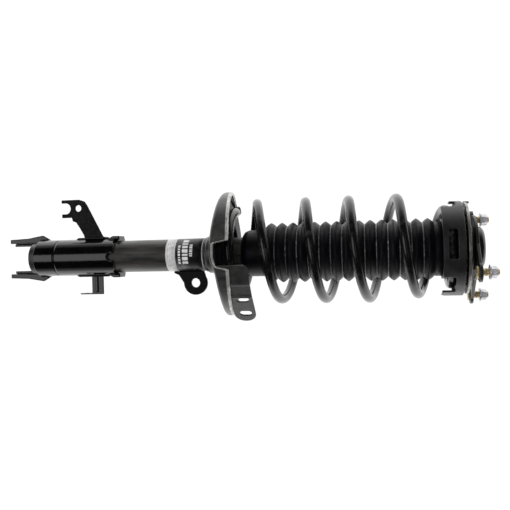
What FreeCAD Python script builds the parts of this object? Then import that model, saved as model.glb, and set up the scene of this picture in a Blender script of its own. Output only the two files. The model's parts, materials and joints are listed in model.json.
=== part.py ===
"""Front suspension strut with its coil spring, dust boot and top mount, one STEP file per piece.

Units are millimetres.  The strut stands upright: +Z runs from the wheel end to the body of the car.
The origin is the centre of the lower knuckle bolt hole, midway between the two bracket ears.
Helper functions draw every piece about the strut's own axis; `save` then moves the finished piece so
that the bolt hole, which sits BOLT_SETBACK behind that axis, comes to the origin.
"""

import math
import os

import FreeCAD
import Part

V = FreeCAD.Vector
X_AXIS, Y_AXIS, Z_AXIS = V(1, 0, 0), V(0, 1, 0), V(0, 0, 1)

# ---- knuckle bracket ------------------------------------------------------------------------------
BOLT_SETBACK = 46.0
BOLT_HOLE_R = 7.1
BOLT_SPACING = 64.0
EAR_TIP_Z = -30.5
EAR_BACK_Y = 64.0
EAR_CORNER_R = 14.0
BRACKET_T = 4.0
WRAP_FOOT_Z = 22.5
WRAP_HEAD_Z = 157.0
WRAP_LOBE_Z = 152.0
WRAP_NOTCH_Z = 143.0
WRAP_NOTCH_HALF = 5.5
WRAP_LOBE_HALF = 23.0
WRAP_BITE_R = 3.2
EAR_HEAD_Z = 112.0
LINER_T = 4.5
LINER_FOOT_Z = -32.0
LINER_HEAD_Z = 104.0
LINER_WEB_FOOT_Z = 20.0
FIT_GAP = 0.02

# ---- tube and damper ------------------------------------------------------------------------------
TUBE_R = 24.0
TUBE_BORE_R = 21.0
TUBE_FOOT_Z = 13.0
TUBE_HEAD_Z = 372.0
CRIMP_T = 3.0
CRIMP_R = 17.0
BASE_DOME_Z = 8.0
CYLINDER_R = 16.5
CYLINDER_BORE_R = 15.0
CYLINDER_FOOT_Z = 20.0
CYLINDER_HEAD_Z = 350.0
ROD_R = 10.0
ROD_NECK_R = 7.0
ROD_SHOULDER_Z = 648.0
ROD_HEAD_Z = 682.0
ROD_TAIL_R = 6.0
ROD_TAIL_Z = 300.0
PISTON_Z = (310.0, 326.0)
PISTON_R = 14.0
BAND_R = 14.95
BAND_Z = (314.0, 322.0)
REBOUND_Z = (330.0, 343.7)
GUIDE_Z = (350.0, 364.0)
GUIDE_SPIGOT_Z = 344.0
SEAL_Z = (364.0, 369.0)
STRIKE_Z = (356.0, 375.0)
RUNNING_GAP = 0.05

# ---- small brackets on the tube -------------------------------------------------------------------
HOSE_T = 3.0
HOSE_Y = -8.0
HOSE_HOLE_R = 5.0
HOSE_HOLE = (89.6, -75.6)
HOSE_NOTCH = (68.6, -75.6)
HOSE_NOTCH_R = 8.4
SENSOR_T = 2.0
SENSOR_TIP_X = 57.3
SENSOR_CLIP_R = 3.2
LINK_T = 6.0
LINK_HOLE = (272.6, 42.0)
LINK_HOLE_R = 6.8
LINK_EYE_R = 18.0
SADDLE_Z = (240.0, 284.0)
SADDLE_T = 3.0
LABEL_Z = (233.6, 290.0)
LABEL_T = 0.4
COLLAR_Z = (296.0, 319.9)

# ---- lower spring seat ----------------------------------------------------------------------------
PAN_Z = 320.0
PAN_T = 3.0
PAN_R = 91.0
PAN_CORNER_R = 6.0
PAN_HOLE_R = 24.4
RIM_MEAN_Z = 333.5
RIM_RISE = 0.12
PAN_NOTCH_X = (-17.5, 20.5)
DRAIN_R = 5.0
GUARD_T = 2.5
GUARD_REACH = 60.0
GUARD_HEAD_Z = 370.0
GUARD_FOOT_Z = (327.0, 338.5)
GUARD_PATH = ((16.0, -86.0), (42.0, -77.0), (60.0, -63.0), (97.0, -26.0))
GUARD_END_R = 15.0
GUARD_CORNER = 7.0
GUARD_SLOT = (17.0, 9.3)
GUARD_SLOT_Z = 356.0
GUARD_SLOT_X = (64.5, 85.0)

# ---- coil spring ----------------------------------------------------------------------------------
WIRE_R = 6.8
COIL_FOOT_R = 58.0
COIL_R = 70.0
COIL_TOP_R = 51.5
COIL_OFFSET_X = -2.5
COIL_STEPS_PER_QUARTER = 6
# (turn, height of the wire's centre) at each quarter turn, from the end of the closed foot coil at turn 0.5
# to the end of the closed head coil at turn 6.125.
COIL_HEIGHTS = (
    (0.5, 336.2), (0.75, 337.4), (1.0, 340.0), (1.25, 347.0),
    (1.5, 368.5), (1.75, 391.0), (2.0, 404.0), (2.25, 419.5),
    (2.5, 439.4), (2.75, 454.5), (3.0, 468.0), (3.25, 483.5),
    (3.5, 501.0), (3.75, 512.5), (4.0, 529.5), (4.25, 547.5),
    (4.5, 567.5), (4.75, 578.5), (5.0, 597.5), (5.25, 618.5),
    (5.5, 632.5), (5.75, 637.5), (6.0, 639.5), (6.125, 640.0),
)

# ---- boot and bump stop ---------------------------------------------------------------------------
BOOT_FOLDS = 15
BOOT_Z = (381.7, 618.2)
BOOT_CREST_R = 43.5
BOOT_ROOT_R = 37.5
BOOT_T = 1.5
BOOT_HEAD_Z = 630.0
CUFF_FOOT_Z = 348.0
CUFF_R = 34.0
CUFF_T = 2.2
TRAVEL = 175.0
BUMP_R = 26.0
BUMP_FOOT_Z = STRIKE_Z[1] + TRAVEL + 0.3
BUMP_HEAD_Z = 648.0

# ---- upper seat and top mount ---------------------------------------------------------------------
CUP_R = 65.5
CUP_T = 3.0
CUP_FOOT_Z = 626.0
CUP_WEB_Z = (651.5, 655.0)
CUP_BORE_R = 31.0
CUP_SKIRT_R = (38.2, 42.0)
# Openings in the cup's wall: start and end angle from the front, then low and high Z.  Those from 80 to
# 182 degrees also clear the shortened spring, whose top coil runs up into the cup there.
CUP_OPENINGS = (
    (-23.0, 12.5, 634.0, 645.0),
    (36.5, 64.0, 625.0, 643.0),
    (80.0, 98.0, 625.0, 628.6),
    (98.0, 150.0, 625.0, 643.0),
    (150.0, 182.0, 625.0, 637.0),
    (-150.0, -99.0, 625.0, 646.0),
    (-99.0, -81.0, 625.0, 639.0),
    (-81.0, -60.5, 625.0, 646.0),
)
RACE_R = (37.0, 51.0)
RACE_T = 2.2
BALL_R = 2.4
BALL_Z = 658.0
BALL_COUNT = 24
BALL_GAP = 0.1
LOWER_PLATE_R = 63.5
LOWER_PLATE_Z = 661.0
LOWER_PLATE_T = 1.6
RIM_DROP = 2.6
RIM_LIP = 2.2
PLATE_Z = (669.5, 674.0)
HUB_R = 30.0
HUB_BORE_R = 26.5
HUB_HEAD_Z = 676.0
FLANGE_R = 45.0
STUD_CENTRE_X = 20.0
STUD_CIRCLE_R = 62.5
STUD_ANGLES = (161.0, -79.0, 41.0)
STUD_R = 5.0
STUD_KNURL_R = 5.4
STUD_THREAD_R = 4.6
STUD_HEAD_R = 8.5
STUD_HEAD_T = 3.0
STUD_TIP_Z = 695.0
EAR_R = 13.0
NUT_FOOT_Z = 682.6
NUT_FLANGE_R = 9.8
NUT_FLANGE_T = 2.0
NUT_HEX_AF = 14.0
NUT_H = 10.0
SLEEVE_R = 12.5
WASHER_R = 22.0
WASHER_Z = (671.0, 673.0)
ROD_NUT_AF = 22.0
ROD_NUT_H = 7.5
PISTON_NUT_AF = 17.0
CAP_HEAD_Z = 684.2
CAP_T = 1.4


# ---- drawing helpers ------------------------------------------------------------------------------
def revolve(points):
    """Solid of revolution about the strut axis from a closed (radius, z) outline."""
    wire = Part.makePolygon([V(r, 0, z) for r, z in points + points[:1]])
    return Part.Face(wire).revolve(V(0, 0, 0), Z_AXIS, 360)


def ring(inner, outer, foot, head):
    """Plain ring, or a disc when the inner radius is zero."""
    body = Part.makeCylinder(outer, head - foot, V(0, 0, foot))
    if inner > 0:
        body = body.cut(Part.makeCylinder(inner, head - foot + 2, V(0, 0, foot - 1)))
    return body


def box(x, y, z):
    """Box from three (low, high) pairs."""
    return Part.makeBox(x[1] - x[0], y[1] - y[0], z[1] - z[0], V(x[0], y[0], z[0]))


def plate_facing_y(outline, y, thickness):
    """Flat plate square to Y from an outline of (z, x) points."""
    wire = Part.makePolygon([V(x, y, z) for z, x in outline + outline[:1]])
    return Part.Face(wire).extrude(V(0, thickness, 0))


def hole_along_y(z, x, radius):
    """Cutter for a hole square to Y."""
    return Part.makeCylinder(radius, 400, V(x, -200, z), Y_AXIS)


def hex_prism(across_flats, foot, height):
    """Hexagonal prism on the strut axis."""
    corner = across_flats / math.sqrt(3)
    points = [
        V(corner * math.cos(math.radians(60 * i)), corner * math.sin(math.radians(60 * i)), foot)
        for i in range(7)
    ]
    return Part.Face(Part.makePolygon(points)).extrude(V(0, 0, height))


def polar(radius, degrees):
    return radius * math.cos(math.radians(degrees)), radius * math.sin(math.radians(degrees))


def stud_places():
    """Centres of the three top studs about the strut axis."""
    places = []
    for angle in STUD_ANGLES:
        x, y = polar(STUD_CIRCLE_R, angle)
        places.append(V(STUD_CENTRE_X + x, y, 0))
    return places


def smooth(value):
    """Smooth step from 0 to 1."""
    value = min(max(value, 0.0), 1.0)
    return value * value * (3 - 2 * value)


def sector(start, end, low, high):
    """Pie slice between two angles, measured from the front (-Y) towards +X."""
    wedge = Part.makeCylinder(100, high - low, V(0, 0, low), Z_AXIS, end - start)
    return wedge.rotate(V(0, 0, 0), Z_AXIS, start - 90)


def save(shape, node):
    shape = shape.removeSplitter()
    shape.translate(V(0, -BOLT_SETBACK, 0))
    shape.exportStep(os.path.join("parts", node + ".step"))


# ---- knuckle bracket ------------------------------------------------------------------------------
def ear_outline(x, foot, head, front, back):
    """Side view of an ear, square to X, with rounded back corners."""
    r = EAR_CORNER_R
    s = r * (1 - math.sqrt(0.5))
    corner_low, corner_high = V(x, back - s, foot + s), V(x, back - s, head - s)
    edges = [
        Part.LineSegment(V(x, front, foot), V(x, back - r, foot)),
        Part.Arc(V(x, back - r, foot), corner_low, V(x, back, foot + r)),
        Part.LineSegment(V(x, back, foot + r), V(x, back, head - r)),
        Part.Arc(V(x, back, head - r), corner_high, V(x, back - r, head)),
        Part.LineSegment(V(x, back - r, head), V(x, front, head)),
        Part.LineSegment(V(x, front, head), V(x, front, foot)),
    ]
    return Part.Face(Part.Wire([e.toShape() for e in edges]))


def bolt_cutters():
    cutters = []
    for z in (0, BOLT_SPACING):
        cutters.append(Part.makeCylinder(BOLT_HOLE_R, 200, V(-100, BOLT_SETBACK, z), X_AXIS))
    return cutters


def bracket_lips():
    """Outward lips on both sides: a peaked one beside the ears and a long one beside the wrap."""
    root = TUBE_R + BRACKET_T - 1
    low = [(EAR_TIP_Z, root), (EAR_TIP_Z, 30.5), (0, 31.8), (25, 36), (41, root)]
    high = [(84, root), (88, 30.2), (138, 30.2), (138, root)]
    flare = [(138, root), (146, 31.4), (WRAP_HEAD_Z, 31.4), (WRAP_HEAD_Z, root)]
    lips = []
    for side in (-1, 1):
        for outline, y, depth in ((low, 0, 4), (high, -7, 4), (flare, -12, 22)):
            lips.append(plate_facing_y([(z, side * x) for z, x in outline], y, depth))
    return lips


def knuckle_bracket():
    """Pressed bracket that wraps the front of the tube and ends in two ears."""
    outer, inner = TUBE_R + BRACKET_T, TUBE_R
    body = ring(inner, outer, WRAP_FOOT_Z, WRAP_HEAD_Z)
    body = body.cut(box((-40, 40), (0, 40), (WRAP_FOOT_Z - 1, WRAP_HEAD_Z + 1)))
    legs = box((inner, outer), (0, 12), (WRAP_FOOT_Z, WRAP_HEAD_Z))
    body = body.fuse([legs, legs.mirror(V(0, 0, 0), X_AXIS)])
    ear = ear_outline(inner, EAR_TIP_Z, EAR_HEAD_Z, 0, EAR_BACK_Y).extrude(V(BRACKET_T, 0, 0))
    body = body.fuse([ear, ear.mirror(V(0, 0, 0), X_AXIS)] + bracket_lips())
    notch = box((-WRAP_NOTCH_HALF, WRAP_NOTCH_HALF), (-40, -10), (WRAP_NOTCH_Z + 4, WRAP_HEAD_Z + 1))
    notch_end = Part.makeCylinder(WRAP_NOTCH_HALF, 30, V(0, -40, WRAP_NOTCH_Z + 5.5), Y_AXIS)
    lobe = WRAP_LOBE_HALF
    crown = box((-lobe, lobe), (-40, -1), (WRAP_LOBE_Z, WRAP_HEAD_Z + 1))
    bites = [Part.makeCylinder(WRAP_BITE_R, 39, V(x, -40, WRAP_LOBE_Z), Y_AXIS) for x in (-lobe, lobe)]
    body = body.cut([notch, notch_end, crown] + bites + bolt_cutters())
    return body.removeSplitter()


def bracket_liner():
    """Inner channel that closes the bracket behind the tube and doubles the ears."""
    outer = TUBE_R - FIT_GAP
    inner = outer - LINER_T
    front = math.sqrt(TUBE_R**2 - inner**2) + 1.5
    ear = ear_outline(inner, LINER_FOOT_Z, LINER_HEAD_Z, front, EAR_BACK_Y).extrude(V(LINER_T, 0, 0))
    web_y = (TUBE_R + FIT_GAP, TUBE_R + LINER_T)
    web = box((-outer, outer), web_y, (LINER_WEB_FOOT_Z, LINER_HEAD_Z))
    body = ear.fuse([ear.mirror(V(0, 0, 0), X_AXIS), web])
    return body.cut([ring(0, TUBE_R + FIT_GAP, -60, 200)] + bolt_cutters())


# ---- tube and damper ------------------------------------------------------------------------------
def strut_tube():
    lip = TUBE_HEAD_Z - CRIMP_T
    return revolve(
        [
            (TUBE_BORE_R, TUBE_FOOT_Z),
            (TUBE_R, TUBE_FOOT_Z),
            (TUBE_R, TUBE_HEAD_Z - 1),
            (TUBE_R - 1, TUBE_HEAD_Z),
            (CRIMP_R, TUBE_HEAD_Z),
            (CRIMP_R, lip),
            (TUBE_BORE_R, lip),
        ]
    )


def tube_base_cap():
    """Dished plug welded into the foot of the tube."""
    edge_r = 20.9
    return revolve(
        [
            (0, BASE_DOME_Z),
            (13, BASE_DOME_Z + 0.8),
            (20, BASE_DOME_Z + 2.8),
            (TUBE_R - 0.3, TUBE_FOOT_Z),
            (edge_r, TUBE_FOOT_Z),
            (edge_r, TUBE_FOOT_Z + 2),
            (0, TUBE_FOOT_Z + 2),
        ]
    )


def base_valve():
    foot = TUBE_FOOT_Z + 2
    flange = ring(0, TUBE_BORE_R - 0.3, foot, CYLINDER_FOOT_Z)
    spigot = ring(0, CYLINDER_BORE_R - 0.1, CYLINDER_FOOT_Z, CYLINDER_FOOT_Z + 8)
    ports = []
    for i in range(6):
        x, y = polar(9, 60 * i)
        ports.append(Part.makeCylinder(1.6, 40, V(x, y, foot + 2)))
    return flange.fuse(spigot).cut(ports)


def rod_guide():
    body = ring(0, TUBE_BORE_R - 0.05, *GUIDE_Z)
    spigot = ring(0, CYLINDER_BORE_R - 0.05, GUIDE_SPIGOT_Z, GUIDE_Z[0])
    return body.fuse(spigot).cut(ring(0, ROD_R + RUNNING_GAP, 300, 400))


def rod_seal():
    """Steel-backed rubber seal with a raised wiping lip."""
    bore = ROD_R + 0.1
    return revolve(
        [
            (bore, SEAL_Z[0]),
            (TUBE_BORE_R - 0.1, SEAL_Z[0]),
            (TUBE_BORE_R - 0.1, SEAL_Z[1]),
            (15, SEAL_Z[1]),
            (12.5, SEAL_Z[1] + 2.5),
            (bore, SEAL_Z[1] + 2.5),
        ]
    )


def strike_cap():
    """Cap over the tube's head that the bump stop lands on."""
    body = ring(TUBE_R + 0.05, TUBE_R + 2, STRIKE_Z[0], TUBE_HEAD_Z)
    head = ring(ROD_R + 1.5, TUBE_R + 2, TUBE_HEAD_Z, STRIKE_Z[1])
    vents = []
    for i in range(4):
        x, y = polar(19, 90 * i + 45)
        vents.append(Part.makeCylinder(2.2, 20, V(x, y, TUBE_HEAD_Z - 1)))
    return body.fuse(head).cut(vents)


def piston_rod():
    body = ring(0, ROD_R, PISTON_Z[1], ROD_SHOULDER_Z)
    neck = ring(0, ROD_NECK_R, ROD_SHOULDER_Z, ROD_HEAD_Z)
    tail = ring(0, ROD_TAIL_R, ROD_TAIL_Z, PISTON_Z[1])
    return body.fuse([neck, tail])


def piston():
    foot, head = PISTON_Z
    low, high = BAND_Z
    body = revolve(
        [
            (ROD_TAIL_R, foot),
            (BAND_R - 0.25, foot),
            (BAND_R - 0.25, low),
            (PISTON_R, low),
            (PISTON_R, high),
            (BAND_R - 0.25, high),
            (BAND_R - 0.25, head),
            (ROD_TAIL_R, head),
        ]
    )
    ports = []
    for i in range(6):
        x, y = polar(10, 60 * i)
        ports.append(Part.makeCylinder(1.8, 40, V(x, y, foot - 5)))
    return body.cut(ports)


def piston_nut():
    foot = ROD_TAIL_Z + 1
    return hex_prism(PISTON_NUT_AF, foot, PISTON_Z[0] - foot).cut(ring(0, ROD_TAIL_R, foot - 1, PISTON_Z[1]))


# ---- small brackets -------------------------------------------------------------------------------
def hose_bracket():
    """Flat brake hose bracket with a hole, an open hose notch and a foot on the knuckle bracket."""
    root_x = -(TUBE_R + BRACKET_T)
    outline = [
        (62.3, -89.0),
        (91.0, -89.0),
        (100.0, -86.0),
        (104.5, -79.0),
        (131.0, root_x),
        (99.5, root_x),
        (98.0, -34.0),
        (92.2, -43.8),
        (85.5, -54.0),
        (80.0, -55.7),
        (78.8, -61.4),
        (62.5, -61.4),
    ]
    plate = plate_facing_y(outline, HOSE_Y, HOSE_T)
    foot = box((root_x - HOSE_T, root_x), (HOSE_Y, 10), (99.5, 131))
    mouth = box(
        (HOSE_NOTCH[1] - HOSE_NOTCH_R, HOSE_NOTCH[1] + HOSE_NOTCH_R),
        (HOSE_Y - 1, HOSE_Y + HOSE_T + 1),
        (50, HOSE_NOTCH[0]),
    )
    cuts = [hole_along_y(*HOSE_NOTCH, HOSE_NOTCH_R), mouth, hole_along_y(*HOSE_HOLE, HOSE_HOLE_R)]
    lips = bracket_lips()
    wrap = ring(0, TUBE_R + BRACKET_T, 0, 200)
    return plate.fuse(foot).cut(cuts + lips + [wrap])


def sensor_bracket():
    """Thin strip with a pressed bead and a turned foot for the sensor lead."""
    root_x = TUBE_R + BRACKET_T
    tip_x = SENSOR_TIP_X
    low, high = 106, 125
    strip = box((root_x, tip_x), (0, SENSOR_T), (low, high))
    bead = box((root_x + 2, tip_x - 4), (-1.5, 0), (low + 6, low + 10))
    foot = box((tip_x - SENSOR_T, tip_x), (0, 14), (low - 19.5, low + 3))
    weld_foot = box((root_x, root_x + SENSOR_T), (0, 12), (low, high))
    clip_hole = Part.makeCylinder(SENSOR_CLIP_R, 20, V(tip_x - 10, 7.5, 95), X_AXIS)
    return strip.fuse([bead, foot, weld_foot]).cut([clip_hole] + bracket_lips())


def link_bracket():
    """Eye plate for the stabiliser link, on a saddle welded behind the tube."""
    z, x = LINK_HOLE
    low, high = SADDLE_Z
    eye = Part.makeCylinder(LINK_EYE_R, LINK_T, V(x, -LINK_T / 2, z), Y_AXIS)
    root = TUBE_R - 4
    outline = [(low, root), (low, 27), (low + 7, 30), (z - LINK_EYE_R, x), (z + 15.5, 32), (high, root)]
    web = plate_facing_y(outline, -LINK_T / 2, LINK_T)
    saddle = ring(TUBE_R, TUBE_R + SADDLE_T, low, high)
    front = box((-40, 40), (-40, -LINK_T / 2), (low - 10, high + 10))
    left = box((-40, root - 6), (-40, 40), (low - 10, high + 10))
    body = eye.fuse([web, saddle.cut([front, left])])
    return body.cut([ring(0, TUBE_R + LABEL_T, low - 40, high + 16), hole_along_y(z, x, LINK_HOLE_R)])


def label_band():
    """Printed foil wrapped round the tube."""
    return ring(TUBE_R, TUBE_R + LABEL_T, *LABEL_Z)


# ---- lower spring seat ----------------------------------------------------------------------------
def seat_collar():
    """Flared collar that carries the seat on the tube."""
    foot, head = COLLAR_Z
    return revolve(
        [
            (TUBE_R, foot - 4),
            (TUBE_R + 1.8, foot - 4),
            (TUBE_R + 1.8, foot - 1.5),
            (TUBE_R + 3.8, foot),
            (TUBE_R + 4.2, foot + 10),
            (TUBE_R + 9, head),
            (TUBE_R, head),
        ]
    )


def pan_profile():
    """Closed (radius, z) outline of the dished seat before its rim is trimmed."""
    r, t, c = PAN_R, PAN_T, PAN_CORNER_R
    z = PAN_Z
    cut = c * (1 - math.sqrt(0.5))
    inner_cut = (c - t) * (1 - math.sqrt(0.5))
    edges = [
        Part.LineSegment(V(PAN_HOLE_R, 0, z), V(r - c, 0, z)),
        Part.Arc(V(r - c, 0, z), V(r - cut, 0, z + cut), V(r, 0, z + c)),
        Part.LineSegment(V(r, 0, z + c), V(r, 0, z + 40)),
        Part.LineSegment(V(r, 0, z + 40), V(r - t, 0, z + 40)),
        Part.LineSegment(V(r - t, 0, z + 40), V(r - t, 0, z + c)),
        Part.Arc(
            V(r - t, 0, z + c),
            V(r - t - inner_cut, 0, z + t + inner_cut),
            V(r - c, 0, z + t),
        ),
        Part.LineSegment(V(r - c, 0, z + t), V(PAN_HOLE_R, 0, z + t)),
        Part.LineSegment(V(PAN_HOLE_R, 0, z + t), V(PAN_HOLE_R, 0, z)),
    ]
    return Part.Face(Part.Wire([e.toShape() for e in edges]))


def lower_spring_seat():
    """Dished seat whose rim stands higher at the front, with a notch and drain holes."""
    body = pan_profile().revolve(V(0, 0, 0), Z_AXIS, 360)
    half = 150
    slope = RIM_RISE * half
    trim = Part.makePolygon(
        [
            V(-half, -half, RIM_MEAN_Z + slope),
            V(-half, half, RIM_MEAN_Z - slope),
            V(-half, half, RIM_MEAN_Z + 100),
            V(-half, -half, RIM_MEAN_Z + 100),
            V(-half, -half, RIM_MEAN_Z + slope),
        ]
    )
    cutters = [Part.Face(trim).extrude(V(2 * half, 0, 0))]
    cutters.append(box(PAN_NOTCH_X, (-100, -75), (PAN_Z + PAN_T + 1, PAN_Z + 60)))
    for angle in (30, 150, 225):
        x, y = polar(42, angle)
        cutters.append(Part.makeCylinder(DRAIN_R, 20, V(x, y, PAN_Z - 5)))
    return body.cut(cutters)


def upright_plate(start, end, foot, head):
    """Plate GUARD_T thick that stands on the line between two points, on its inner side."""
    along = end.sub(start).normalize()
    inward = V(-along.y, along.x, 0)
    quad = [start, end, end.add(inward * GUARD_T), start.add(inward * GUARD_T)]
    quad = [V(p.x, p.y, foot) for p in quad]
    return Part.Face(Part.makePolygon(quad + quad[:1])).extrude(V(0, 0, head - foot))


def guard_block(corner, run, length, height):
    """Cutter box that starts at a corner, runs along the guard and passes right through it."""
    block = Part.makeBox(length, GUARD_REACH, height)
    block.rotate(V(0, 0, 0), Z_AXIS, math.degrees(math.atan2(run.y, run.x)))
    block.translate(corner)
    return block


def guard_slots(bend, run):
    """Cutters for the round-ended slots in the guard's longest side."""
    length, width = GUARD_SLOT
    straight = length - width
    low = GUARD_SLOT_Z - straight / 2
    through = V(-run.y, run.x, 0)
    cutters = []
    for x in GUARD_SLOT_X:
        place = bend.add(run * ((x - bend.x) / run.x)).sub(through * (GUARD_REACH / 2))
        for z in (low, low + straight):
            cutters.append(Part.makeCylinder(width / 2, GUARD_REACH, V(place.x, place.y, z), through))
        corner = place.sub(run * (width / 2))
        cutters.append(guard_block(V(corner.x, corner.y, low), run, width, straight))
    return cutters


def guard_end(tip, run):
    """Cutters that round the guard's outer end, top and bottom."""
    r = GUARD_END_R
    foot, head = GUARD_FOOT_Z[1], GUARD_HEAD_Z
    through = V(-run.y, run.x, 0)
    place = tip.sub(run * r).sub(through * (GUARD_REACH / 2))
    cutters = []
    for low, high, middle in ((head - r, head + 1, head - r), (foot - 1, foot + r, foot + r)):
        block = guard_block(V(place.x, place.y, low), run, 2 * r, high - low)
        round_end = Part.makeCylinder(r, GUARD_REACH, V(place.x, place.y, middle), through)
        cutters.append(block.cut(round_end))
    return cutters


def guard_corner():
    """Cutter that rounds the guard's inner top corner."""
    x, z = GUARD_PATH[0][0] + GUARD_CORNER, GUARD_HEAD_Z - GUARD_CORNER
    square = box((0, x), (-100, -60), (z, GUARD_HEAD_Z + 1))
    return square.cut(Part.makeCylinder(GUARD_CORNER, 60, V(x, -100, z), Y_AXIS))


def spring_guard(pan):
    """Plate standing inside the seat's rim, which catches the end of a broken coil."""
    path = [V(x, y, 0) for x, y in GUARD_PATH]
    inner_foot, outer_foot = GUARD_FOOT_Z
    head = GUARD_HEAD_Z
    body = upright_plate(path[0], path[1], inner_foot, head)
    body = body.fuse(upright_plate(path[1], path[2], inner_foot, head))
    body = body.fuse(upright_plate(path[2], path[3], outer_foot, head))
    for bend in path[1:-1]:
        body = body.fuse(Part.makeCylinder(GUARD_T * 0.9, head - inner_foot, V(bend.x, bend.y, inner_foot)))
    run = path[3].sub(path[2]).normalize()
    cutters = [pan, guard_corner()] + guard_slots(path[2], run) + guard_end(path[3], run)
    return body.cut(cutters)


def lower_isolator():
    """Rubber pad between the seat and the first coil."""
    floor = PAN_Z + PAN_T
    return ring(COIL_FOOT_R - 10, COIL_R + 2, floor, COIL_HEIGHTS[0][1] - WIRE_R - 0.3)


# ---- coil spring ----------------------------------------------------------------------------------
def coil_radius(turn):
    """Radius of the wire's centre line: a small closed foot, the working coils, a small closed head."""
    foot = (COIL_R - COIL_FOOT_R) * (1 - smooth((turn - 1.0) / 0.5))
    head = (COIL_R - COIL_TOP_R) * smooth((turn - 4.7) / 0.8)
    return COIL_R - foot - head


def coil_height(turn):
    """Height of the wire's centre line, smoothly interpolated between the quarter turns."""
    last = len(COIL_HEIGHTS) - 1
    i = 0
    while i < last - 1 and turn > COIL_HEIGHTS[i + 1][0]:
        i += 1

    def slope(k):
        before, after = COIL_HEIGHTS[max(k - 1, 0)], COIL_HEIGHTS[min(k + 1, last)]
        return (after[1] - before[1]) / (after[0] - before[0])

    (t0, z0), (t1, z1) = COIL_HEIGHTS[i], COIL_HEIGHTS[i + 1]
    span = t1 - t0
    s = (turn - t0) / span
    start = (2 * s**3 - 3 * s**2 + 1) * z0 + (s**3 - 2 * s**2 + s) * span * slope(i)
    end = (3 * s**2 - 2 * s**3) * z1 + (s**3 - s**2) * span * slope(i + 1)
    return start + end


def coil_points():
    """Points on the wire's centre line, evenly spaced in angle."""
    first, last = COIL_HEIGHTS[0][0], COIL_HEIGHTS[-1][0]
    steps = round((last - first) * 4 * COIL_STEPS_PER_QUARTER)
    points = []
    for i in range(steps + 1):
        turn = first + (last - first) * i / steps
        radius = coil_radius(turn)
        x = radius * math.cos(2 * math.pi * turn)
        y = radius * math.sin(2 * math.pi * turn)
        points.append(V(x + COIL_OFFSET_X, y, coil_height(turn)))
    return points


def coil_spring():
    curve = Part.BSplineCurve()
    curve.interpolate(coil_points())
    path = Part.Wire([curve.toShape()])
    start = curve.value(curve.FirstParameter)
    heading = curve.tangent(curve.FirstParameter)[0]
    section = Part.Wire([Part.Circle(start, heading, WIRE_R).toShape()])
    return path.makePipeShell([section], True, True)


# ---- boot and bump stop ---------------------------------------------------------------------------
def dust_boot():
    """Bellows with round-backed folds and a plain neck at the head."""
    foot, head = BOOT_Z
    pitch = (head - foot) / BOOT_FOLDS
    outer = []
    for i in range(BOOT_FOLDS):
        z = foot + i * pitch
        outer.append((BOOT_ROOT_R, z))
        outer.append((BOOT_CREST_R, z + 0.36 * pitch))
        outer.append((BOOT_CREST_R, z + 0.64 * pitch))
    outer.append((BOOT_ROOT_R, head))
    outer.append((BOOT_ROOT_R, BOOT_HEAD_Z))
    inner = [(r - BOOT_T, z) for r, z in reversed(outer)]
    return revolve(outer + inner)


def boot_cuff():
    """Bell at the boot's foot, gripping the tube."""
    grip = TUBE_R + 0.05
    head = BOOT_Z[0]
    return revolve(
        [
            (grip, CUFF_FOOT_Z),
            (grip + 3, CUFF_FOOT_Z),
            (CUFF_R - 2.5, CUFF_FOOT_Z + 3),
            (CUFF_R, CUFF_FOOT_Z + 9),
            (CUFF_R, head - 4),
            (BOOT_ROOT_R, head - 0.1),
            (BOOT_ROOT_R - CUFF_T, head - 0.1),
            (CUFF_R - CUFF_T, head - 3.2),
            (CUFF_R - CUFF_T, CUFF_FOOT_Z + 9),
            (CUFF_R - 5, CUFF_FOOT_Z + 6),
            (grip, CUFF_FOOT_Z + 6),
        ]
    )


def bump_stop():
    """Foam stop on the rod, waisted between its rings."""
    bore = ROD_R + 0.05
    foot, head = BUMP_FOOT_Z, BUMP_HEAD_Z
    ring_h = (head - foot) / 4
    outer = [(BUMP_R - 8, foot)]
    for i in range(4):
        z = foot + i * ring_h
        grow = 2 * (3 - i)
        outer += [(BUMP_R - grow, z + 0.35 * ring_h), (BUMP_R - grow, z + 0.75 * ring_h)]
        if i < 3:
            outer.append((BUMP_R - 5 - grow, z + ring_h))
    outer.append((BUMP_R, head))
    return revolve([(bore, foot)] + outer + [(bore, head)])


def bump_stop_cup():
    foot = ROD_SHOULDER_Z
    disc = ring(ROD_NECK_R, BUMP_R + 1.5, foot, foot + 2)
    return disc.fuse(ring(BUMP_R + 0.05, BUMP_R + 1.5, foot - 12, foot))


# ---- upper seat and top mount ---------------------------------------------------------------------
def upper_spring_seat():
    """Moulded cup over the top coil, with openings in its wall that leave a tab and a clip."""
    low, high = CUP_WEB_Z
    wall = ring(CUP_R - CUP_T, CUP_R, CUP_FOOT_Z, high)
    web = ring(CUP_BORE_R, CUP_R, low, high)
    skirt = ring(*CUP_SKIRT_R, CUP_FOOT_Z + 2, low)
    core = ring(0, CUP_R - CUP_T - 1, CUP_FOOT_Z - 10, high + 10)
    openings = [sector(*opening).cut(core) for opening in CUP_OPENINGS]
    return wall.cut(openings).fuse([web, skirt])


def upper_isolator():
    """Rubber ring between the top coil and the cup."""
    coil_top = COIL_HEIGHTS[-1][1] + WIRE_R + 0.6
    return ring(CUP_SKIRT_R[1] + 0.1, CUP_R - CUP_T - 0.1, coil_top, CUP_WEB_Z[0])


def ball_groove(gap):
    centre_r = sum(RACE_R) / 2
    circle = Part.Wire([Part.Circle(V(centre_r, 0, BALL_Z), Y_AXIS, BALL_R + gap).toShape()])
    return Part.Face(circle).revolve(V(0, 0, 0), Z_AXIS, 360)


def bearing_lower_race():
    foot = CUP_WEB_Z[1]
    return ring(*RACE_R, foot, foot + RACE_T).cut(ball_groove(BALL_GAP))


def bearing_upper_race():
    head = LOWER_PLATE_Z
    return ring(*RACE_R, head - RACE_T, head).cut(ball_groove(BALL_GAP))


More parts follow.
